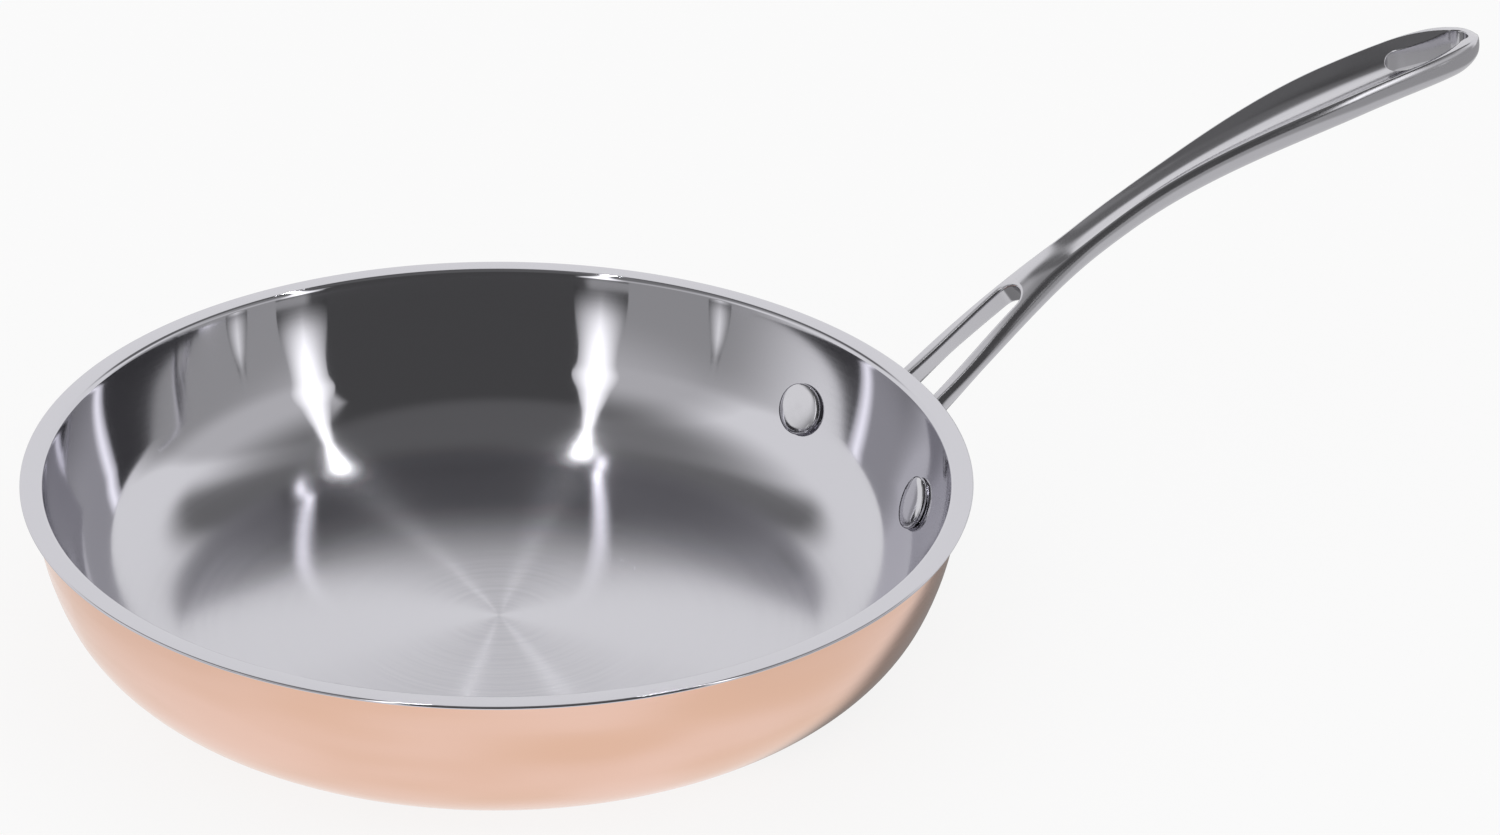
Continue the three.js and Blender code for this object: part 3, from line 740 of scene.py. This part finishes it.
def handle_skin(h):
    """The handle's bar as grids of station by place round its half section, and their mirror images.

    A section runs from the slot's edge over the top to the side, and back under it to the slot's lower edge.
    Where there is a slot, its wall is a grid of its own.
    """
    s = handle_stations(h)[:, None]
    x = np.interp(s, h.run, h.line[:, 0])
    w = half_width(h, x)
    inner = np.minimum(np.maximum(fork_half(h, s), eye_half(h, s)), w)
    eye_start = h.eye_run - h.apart - h.wide
    inner = np.where((s >= h.crotch_run - SAME_PLACE) & (s <= eye_start + SAME_PLACE), 0, inner)
    room = w - inner
    near = np.minimum(np.where(s < h.crotch_run + SLOT_BEVEL, SLOT_BEVEL, EYE_BEVEL), BEVEL_SHARE * room)
    rim = np.minimum(EDGE_INSET, BEVEL_SHARE * room)
    quarter = np.linspace(0, math.pi / 2, EDGE_COLUMNS)[None, :]
    middle = np.linspace(0, 1, TOP_COLUMNS)[None, 1:-1]
    top_y = np.concatenate([
        inner + near * (1 - np.cos(quarter)),
        inner + near + (room - near - rim) * middle,
        w - rim * (1 - np.sin(quarter)),
    ], axis=1)
    share = np.clip(np.divide(inner, w, out=np.zeros_like(w), where=w > LEAST_WIDTH), 0, 1)
    columns = np.linspace(0, 1, UNDER_COLUMNS)[None, :] ** (1 / UNDERSIDE_POWER)
    turn = np.arccos(share ** (1 / UNDERSIDE_POWER)) * columns
    under_y = w * np.clip(np.cos(turn), 0, 1) ** UNDERSIDE_POWER
    under_y[:, -1:] = inner
    top = top_height(h, s, x, top_y)
    under = underside_height(h, s, x, under_y, np.clip(np.sin(turn), 0, 1) ** UNDERSIDE_POWER)
    under[:, :1] = top[:, -1:]
    y = np.concatenate([top_y, under_y], axis=1)
    skin = place_on_line(h, s, y, np.concatenate([top, under], axis=1))
    rows = np.linspace(0, 1, WALL_ROWS)[None, :]
    wall_up = under[:, -1:] + (top[:, :1] - under[:, -1:]) * rows
    wall = place_on_line(h, s, inner + 0 * wall_up, wall_up)
    fork = wall[s[:, 0] <= h.crotch_run + SAME_PLACE]
    eye = wall[(s[:, 0] >= eye_start - SAME_PLACE) & (s[:, 0] <= h.eye_run + h.narrow + SAME_PLACE)]
    # The root is closed by drawing its section together to one point
    ring = np.concatenate([skin[0], wall[0]])[None]
    root = np.concatenate([np.broadcast_to(ring.mean(axis=1, keepdims=True), ring.shape), ring])
    half = [skin, fork, eye, root]
    return half + [grid * (1, -1, 1) for grid in half]


def foot_surface(h):
    """The foot as a grid of rows by turn: a pad on the wall whose outline is two half circles and two straights.

    A point lies a share q of the way from the spine between the rivets to the outline. The inner face follows
    the wall, the outer face is a round of its own that brings the pad down to its ends, with a rounded edge.
    """
    size, seat = h.handle, h.seat
    reach = seat.radius * math.sin(seat.turn)
    half = np.linspace(-math.pi / 2, math.pi / 2, FOOT_ROUND_STEPS + 1)
    straight = np.linspace(reach, -reach, FOOT_STRAIGHT_COLUMNS)[1:-1]
    out_y = np.concatenate([np.cos(half), 0 * straight, -np.cos(half), 0 * straight, np.cos(half[:1])])
    out_z = np.concatenate([np.sin(half), 0 * straight + 1, -np.sin(half), 0 * straight - 1, np.sin(half[:1])])
    spine = np.concatenate([0 * half + reach, straight, 0 * half - reach, -straight, [reach]])
    radius = size.foot_height / 2
    edge = 1 - FOOT_ROUNDING / radius * (1 - np.sin(np.linspace(0, math.pi / 2, FOOT_EDGE_ROWS)))
    inner_rows = np.linspace(0, 1, FOOT_INNER_ROWS)
    outer_rows = np.concatenate([edge[::-1], np.linspace(edge[0], 0, FOOT_OUTER_ROWS)[1:]])
    q = np.concatenate([inner_rows, outer_rows])[:, None]
    outer = np.concatenate([0 * inner_rows, 0 * outer_rows + 1])[:, None]
    y = spine + radius * q * out_y
    z = seat.height + radius * q * out_z
    inside = np.sqrt((wall_radius(h.bowl, z) + SEAT_GAP) ** 2 - y ** 2)
    middle = seat.radius + (SEAT_GAP + size.foot_thickness) / math.cos(seat.slope)
    end = seat.radius + (SEAT_GAP + size.foot_end) / math.cos(seat.slope)
    axis = (middle ** 2 - end ** 2) / (2 * (middle - end * math.cos(seat.turn)))
    crest_x = middle - axis - FOOT_CROWN * math.cos(seat.slope)
    crest_z = seat.height + FOOT_CROWN * math.sin(seat.slope)
    round_x = crest_x + np.sqrt(FOOT_CROWN ** 2 - (z - crest_z) ** 2)
    outside = axis + np.sqrt(round_x ** 2 - y ** 2) - round_over(radius * (1 - q), FOOT_ROUNDING)
    return np.stack([np.where(outer > 0, np.maximum(outside, inside), inside), y, z], axis=2)


class PAN_OT_spin_plies(bpy.types.Operator):
    """Spins the copper, aluminium and steel plies of the bowl"""
    bl_idname = "pan.spin_plies"
    bl_label = "Spin the plies"

    def execute(self, context):
        bowl = context.scene.pan_bowl
        look = context.scene.pan_finishes
        copper = outer_ply(bowl, 0, bowl.copper)
        core = outer_ply(bowl, bowl.copper + bowl.bond_gap, bowl.core)
        make_piece("bowl_copper", [copper], spun_copper(look), "copper_shell")
        make_piece("bowl_core", [core], rolled_aluminium(look), "aluminium_core")
        make_piece("bowl_liner", [liner_ply(bowl)], polished_steel(look), "steel_liner")
        return {"FINISHED"}


class PAN_OT_cast_handle(bpy.types.Operator):
    """Casts the forked handle with its foot, dish and hanging eye"""
    bl_idname = "pan.cast_handle"
    bl_label = "Cast the handle"

    def execute(self, context):
        scene = context.scene
        h = handle_frame(scene.pan_bowl, scene.pan_rivets, scene.pan_handle)
        grids = [*handle_skin(h), foot_surface(h)]
        make_piece("forked_handle", grids, cast_steel(scene.pan_finishes), "handle")
        return {"FINISHED"}


class PAN_OT_set_rivets(bpy.types.Operator):
    """Sets the two rivets through the wall and the handle's foot"""
    bl_idname = "pan.set_rivets"
    bl_label = "Set the rivets"

    def execute(self, context):
        scene = context.scene
        metal = burnished_rivet(scene.pan_finishes)
        for name, side in (("rivet_left", 1), ("rivet_right", -1)):
            surface = rivet_surface(scene.pan_bowl, scene.pan_rivets, scene.pan_handle, side)
            make_piece(f"domed_{name}", [surface], metal, name)
        return {"FINISHED"}


# The floor. Its ranges are how bright mirror rays see it, by the distance in metres from the bowl's axis or from the
# middle of its painted shadow
FLOOR_HALF = 8
FLOOR_DROP = 0.0002
FLOOR_SEEN, FLOOR_MIRRORED = 0.85, 0.95
FLOOR_DARK = (0.02, 0.02, 0.02, 1)
FLOOR_RIGHT = (1.0, 0.6, 0.38, 0.42)
FLOOR_SIDES = (1.0, 0.72, 0.04, 0.3)
# A disc of painted shadow, seen only by mirror rays, that stands in for the pan's contact shadow behind it at the
# right
FLOOR_PAINTED_SHADOW = (0.3, 1.0, 0.106, 0.122)
SHADOW_AWAY, SHADOW_TURN = 0.06, math.radians(138)

# The tent. Ways are shares of front, right and up: the first three are square to planes where its walls end. A level
# goes by how far a direction leans along a way, from -1 to 1. Left and flag dim the two walls towards the front, and
# side picks between them. Brighter, fade and high go by height, behind shades the back's upper part, and ceiling
# lights the opening overhead
LEFT_TURN, FLAG_TURN = math.radians(-165), math.radians(205)
TENT_WAYS = {
    "left_wall": (-0.31, -1, -0.2), "right_top": (-0.5, 1, -0.52), "right_low": (-1.27, 1, -0.05),
    "right": (0, 1, 0), "back": (-1, 0, 0), "up": (0, 0, 1),
}
TENT_LEVELS = {
    "left": ("left", 0.4, 1.0, -0.35, 0.3),
    "flag": ("flag", 0.42, 1.0, -0.22, 0.12),
    "side": ("right", 0.0, 1.0, -0.02, 0.02),
    "brighter": ("up", 1.0, 1.6, 0.25, 0.45),
    "fade": ("up", 1.0, 0.25, 0.59, 0.94),
    "high": ("up", 0.0, 1.0, 0.58, 0.68),
    "behind": ("back", 0.0, 0.7, 0.3, 0.55),
    "ceiling": ("up", 0.0, 0.065, 0.82, 0.93),
}
TENT_EDGE = (0.0, 1.0, -0.02, 0.03)
TENT_LEAST = 0.18
GAP_FOOT, GAP_HEIGHTS = 0.18, (0.0, 0.1)
SOFT_LIGHT = 0.75

# The strips of light along the tent's seams. Each follows one meridian of the bowl as the camera sees it mirrored,
# so it is laid out by the bowl's facets from the lip down to the floor: their tilt and half the strip's width, both
# in degrees, and its brightness. SEAM_SPOT is how far from the bowl's axis these facets are taken to lie
SEAM_SPOT = 95 * MM
SEAM_AWAY = 5
SEAM_ROWS = 41
SEAM_EDGE = 0.25
SEAM_TURNS = (-11.0, 31.7)
SEAM_SPLIT = 40
SEAM = (
    (71, 3.9, 0.1), (69, 3.9, 0.5), (67, 3.6, 1.5), (64.5, 2.9, 2.2), (63, 2.9, 2.4), (61.5, 3.2, 2.4),
    (60, 3.6, 2.5), (58.5, 3.7, 2.5), (56.5, 3.5, 2.5), (54, 3.0, 2.5), (52, 2.6, 2.4), (42, 1.5, 2.4),
    (30, 0.8, 3.5), (21, 0.4, 24.0), (12, 0.5, 110.0),
)
# Two faint posts of the tent stand further out, and only the upper wall mirrors them
POST_TURNS = (-28.7, 42.0)
POST = ((73, 1.8, 0.2), (71, 1.8, 0.9), (69, 1.6, 1.1), (67, 1.2, 1.1), (65, 0.6, 0.3))

SENSOR_WIDTH = 36
NEAR_CLIP = 0.01


def bearing(studio, turn, height):
    """A direction from the pan, by its turn from the camera to the picture's right and its height over the floor."""
    towards = math.atan2(studio.place[1] - studio.aim[1], studio.place[0] - studio.aim[0])
    flat = math.cos(height)
    return Vector((flat * math.cos(towards + turn), flat * math.sin(towards + turn), math.sin(height)))


def studio_floor(studio):
    """A pale paper floor: it keeps the pan's soft shadow, and the camera sees it almost at full white.

    Mirrored, it fades to both sides, is darker past an edge at the right, and has a disc of painted shadow behind
    the pan there.
    """
    material = bpy.data.materials.new("paper_floor")
    tree = empty_tree(material)
    rays = add_node(tree, "LightPath").outputs
    place = add_node(tree, "TexCoord").outputs["Object"]
    right = bearing(studio, math.pi / 2, 0)
    middle = SHADOW_AWAY * bearing(studio, SHADOW_TURN, 0)
    beside = add_node(tree, "VectorMath", LEAN, _0=place, _1=right.normalized()).outputs["Value"]
    away = add_node(tree, "VectorMath", {"operation": "DISTANCE"}, _0=place, _1=middle).outputs["Value"]
    aside = add_node(tree, "Math", {"operation": "ABSOLUTE"}, _0=beside)
    edge = add_node(tree, "MapRange", SMOOTH, Value=beside, **limits(*FLOOR_RIGHT))
    sides = add_node(tree, "MapRange", SMOOTH, Value=aside, **limits(*FLOOR_SIDES))
    # Painted shadow: a darker disc behind the pan at the right, which the copper mirrors
    shadow = add_node(tree, "MapRange", SMOOTH, Value=away, **limits(*FLOOR_PAINTED_SHADOW))
    faded = add_node(tree, "Math", TIMES, _0=edge, _1=sides)
    mirrored = add_node(tree, "Math", TIMES, _0=faded, _1=shadow)
    glossy = add_node(tree, "Math", MOST, _0=rays["Is Glossy Ray"], _1=rays["Is Transmission Ray"])
    share = add_node(tree, "Math", TIMES, _0=glossy, _1=FLOOR_MIRRORED)
    seen = add_node(tree, "Math", {"operation": "MULTIPLY_ADD"}, _0=rays["Is Camera Ray"], _1=FLOOR_SEEN, _2=share)
    paper = add_node(tree, "BsdfDiffuse", Color=(*studio.floor, 1))
    white = add_node(tree, "Emission", Color=WHITE, Strength=1.0)
    pale = add_node(tree, "MixShader", _0=seen, _1=paper, _2=white)
    dark = add_node(tree, "BsdfDiffuse", Color=FLOOR_DARK)
    light = add_node(tree, "Mix", NUMBER, _0=glossy, _2=1.0, _3=mirrored)
    mix = add_node(tree, "MixShader", _0=light, _1=dark, _2=pale)
    add_node(tree, "OutputMaterial", Surface=mix)
    return material


def studio_world(scene, studio):
    """The tent round the pan, as the polished metal mirrors it.

    It is white behind the pan, dims towards the front on either side and fades overhead. Between planes through
    the pan, one at the left and two at the right, it is open to the camera, and mirrored as dark. Other rays get
    plain soft light, and the camera sees white.
    """
    world = bpy.data.worlds.new("white_tent")
    tree = empty_tree(world)
    rays = add_node(tree, "LightPath").outputs
    look = add_node(tree, "TexCoord").outputs["Generated"]
    front, right, up = bearing(studio, 0, 0), bearing(studio, math.pi / 2, 0), Vector((0, 0, 1))
    ways = {key: a * front + b * right + c * up for key, (a, b, c) in TENT_WAYS.items()}
    ways["left"] = bearing(studio, LEFT_TURN, 0)
    ways["flag"] = bearing(studio, FLAG_TURN, 0)
    lean = {
        key: add_node(tree, "VectorMath", LEAN, _0=look, _1=way.normalized()).outputs["Value"]
        for key, way in ways.items()
    }
    level = {
        key: add_node(tree, "MapRange", SMOOTH, Value=lean[way], **limits(*values))
        for key, (way, *values) in TENT_LEVELS.items()
    }
    right_wall = add_node(tree, "Math", LEAST, _0=lean["right_top"], _1=lean["right_low"])
    wall = add_node(tree, "Math", MOST, _0=lean["left_wall"], _1=right_wall)
    closed = add_node(tree, "MapRange", SMOOTH, Value=wall, **limits(*TENT_EDGE))
    either = add_node(tree, "Mix", NUMBER, _0=level["side"], _2=level["left"], _3=level["flag"])
    lit = add_node(tree, "Math", TIMES, _0=either, _1=level["brighter"])
    low = add_node(tree, "Math", LEAST, _0=lit, _1=1.0)
    shaded = add_node(tree, "Math", TIMES, _0=level["high"], _1=level["behind"])
    upper = add_node(tree, "Math", LESS, _0=level["fade"], _1=shaded)
    hung = add_node(tree, "Math", MOST, _0=upper, _1=TENT_LEAST)
    cloth = add_node(tree, "Math", TIMES, _0=low, _1=hung)
    gap = add_node(tree, "MapRange", SMOOTH, Value=lean["up"], **limits(GAP_FOOT, studio.shade, *GAP_HEIGHTS))
    opening = add_node(tree, "Math", PLUS, _0=gap, _1=level["ceiling"])
    tent = add_node(tree, "Mix", NUMBER, _0=closed, _2=opening, _3=cloth)
    mirrored = add_node(tree, "Math", MOST, _0=rays["Is Glossy Ray"], _1=rays["Is Transmission Ray"])
    soft = add_node(tree, "Mix", NUMBER, _0=mirrored, _2=SOFT_LIGHT, _3=tent)
    strength = add_node(tree, "Math", MOST, _0=soft, _1=rays["Is Camera Ray"])
    shine = add_node(tree, "Background", Color=WHITE, Strength=strength)
    add_node(tree, "OutputWorld", Surface=shine)
    scene.world = world


def mirrored_way(studio, turn, tilt):
    """The way that a facet of the bowl mirrors to the camera: it faces a turn and is tilted from lying flat.

    With v towards the camera and n square to the facet, that is 2(n·v)n - v.
    """
    view = (Vector(studio.place) + SEAM_SPOT * bearing(studio, turn, 0)).normalized()
    facing = bearing(studio, turn, math.pi / 2 - tilt)
    return 2 * facing.dot(view) * facing - view


def seam_glow():
    """The light of the strips, as bright at each place as its level says."""
    material = bpy.data.materials.new("strip_light")
    tree = empty_tree(material)
    level = add_node(tree, "Attribute", {"attribute_name": "level"}).outputs["Fac"]
    shine = add_node(tree, "Emission", Color=WHITE, Strength=level)
    add_node(tree, "OutputMaterial", Surface=shine)
    return material


def add_seam(studio, glow, table, turn, low, high):
    """A strip of light between two tilts, dimmer at its edges, which facets beside the meridian mirror."""
    rows = np.array(table[::-1])
    tilts = np.linspace(low, high, SEAM_ROWS)
    half = np.interp(tilts, rows[:, 0], rows[:, 1])
    level = np.interp(tilts, rows[:, 0], rows[:, 2])
    across = (-1, 0, 1)
    step = len(across)
    points = [
        SEAM_AWAY * mirrored_way(studio, math.radians(turn + side * wide), math.radians(tilt))
        for tilt, wide in zip(tilts, half) for side in across
    ]
    faces = [(i, i + 1, i + step + 1, i + step) for i in range(len(points) - step) if (i + 1) % step]
    glows = np.outer(level, (SEAM_EDGE, 1, SEAM_EDGE)).astype(np.float32)
    sheet = bpy.data.meshes.new("strip")
    sheet.from_pydata(points, [], faces)
    sheet.attributes.new("level", "FLOAT", "POINT").data.foreach_set("value", glows.ravel())
    sheet.materials.append(glow)
    strip = bpy.data.objects.new("strip", sheet)
    strip.visible_camera = False
    bpy.context.collection.objects.link(strip)
    return strip


class PAN_OT_set_stage(bpy.types.Operator):
    """Lays the floor and sets the light and the camera"""
    bl_idname = "pan.set_stage"
    bl_label = "Set the stage"

    def execute(self, context):
        scene = context.scene
        studio = scene.pan_studio
        scene.view_settings.view_transform = "Standard"
        sheet = bpy.data.meshes.new("floor")
        corners = [(x * FLOOR_HALF, y * FLOOR_HALF, 0) for x, y in ((-1, -1), (1, -1), (1, 1), (-1, 1))]
        sheet.from_pydata(corners, [], [(0, 1, 2, 3)])
        sheet.materials.append(studio_floor(studio))
        floor = bpy.data.objects.new("floor", sheet)
        floor.location.z = -FLOOR_DROP
        context.collection.objects.link(floor)
        studio_world(scene, studio)
        # The lower half of a strip lights the liner alone, because the handle's dish would mirror it as well
        liner_alone = bpy.data.collections.new("bowl")
        liner_alone.objects.link(bpy.data.objects["bowl_liner"])
        glow = seam_glow()
        for turn in SEAM_TURNS:
            add_seam(studio, glow, SEAM, turn, SEAM_SPLIT, SEAM[0][0])
            lower = add_seam(studio, glow, SEAM, turn, SEAM[-1][0], SEAM_SPLIT)
            lower.light_linking.receiver_collection = liner_alone
        for turn in POST_TURNS:
            add_seam(studio, glow, POST, turn, POST[-1][0], POST[0][0])
        lens = bpy.data.cameras.new("camera")
        lens.lens = studio.lens
        lens.sensor_width = SENSOR_WIDTH
        lens.sensor_fit = "HORIZONTAL"
        lens.clip_start = NEAR_CLIP
        camera = bpy.data.objects.new("camera", lens)
        view = Vector(studio.aim) - Vector(studio.place)
        camera.location = studio.place
        camera.rotation_mode = "QUATERNION"
        camera.rotation_quaternion = view.to_track_quat("-Z", "Y") @ Quaternion((0, 0, 1), studio.roll)
        context.collection.objects.link(camera)
        scene.camera = camera
        return {"FINISHED"}


class PAN_PT_workshop(bpy.types.Panel):
    """Lists the steps of making the pan, and its sizes and colours"""
    bl_idname = "PAN_PT_workshop"
    bl_label = "Flambé pan"
    bl_space_type = "VIEW_3D"
    bl_region_type = "UI"
    bl_category = "Flambé pan"

    def draw(self, context):
        layout = self.layout
        for operator in OPERATORS:
            layout.operator(operator.bl_idname)
        for key in GROUPS:
            group = getattr(context.scene, key)
            box = layout.box()
            for name in group.bl_rna.properties.keys():
                if name not in {"rna_type", "name"}:
                    box.prop(group, name)


OPERATORS = (PAN_OT_spin_plies, PAN_OT_cast_handle, PAN_OT_set_rivets, PAN_OT_set_stage)
GROUPS = {
    "pan_bowl": PanBowlSizes,
    "pan_rivets": PanRivetSizes,
    "pan_handle": PanHandleSizes,
    "pan_finishes": PanFinishes,
    "pan_studio": PanStudio,
}


def register():
    """Makes the sizes, the steps and the panel known to Blender."""
    for kind in (*GROUPS.values(), *OPERATORS, PAN_PT_workshop):
        bpy.utils.register_class(kind)
    for key, kind in GROUPS.items():
        setattr(bpy.types.Scene, key, PointerProperty(type=kind))


def unregister():
    """Takes back what register did, in the opposite order."""
    for key in GROUPS:
        delattr(bpy.types.Scene, key)
    for kind in (PAN_PT_workshop, *reversed(OPERATORS), *reversed(GROUPS.values())):
        bpy.utils.unregister_class(kind)


def main():
    """Builds the pan and its stage."""
    register()
    bpy.ops.pan.spin_plies()
    bpy.ops.pan.cast_handle()
    bpy.ops.pan.set_rivets()
    bpy.ops.pan.set_stage()


if __name__ == "__main__":
    main()
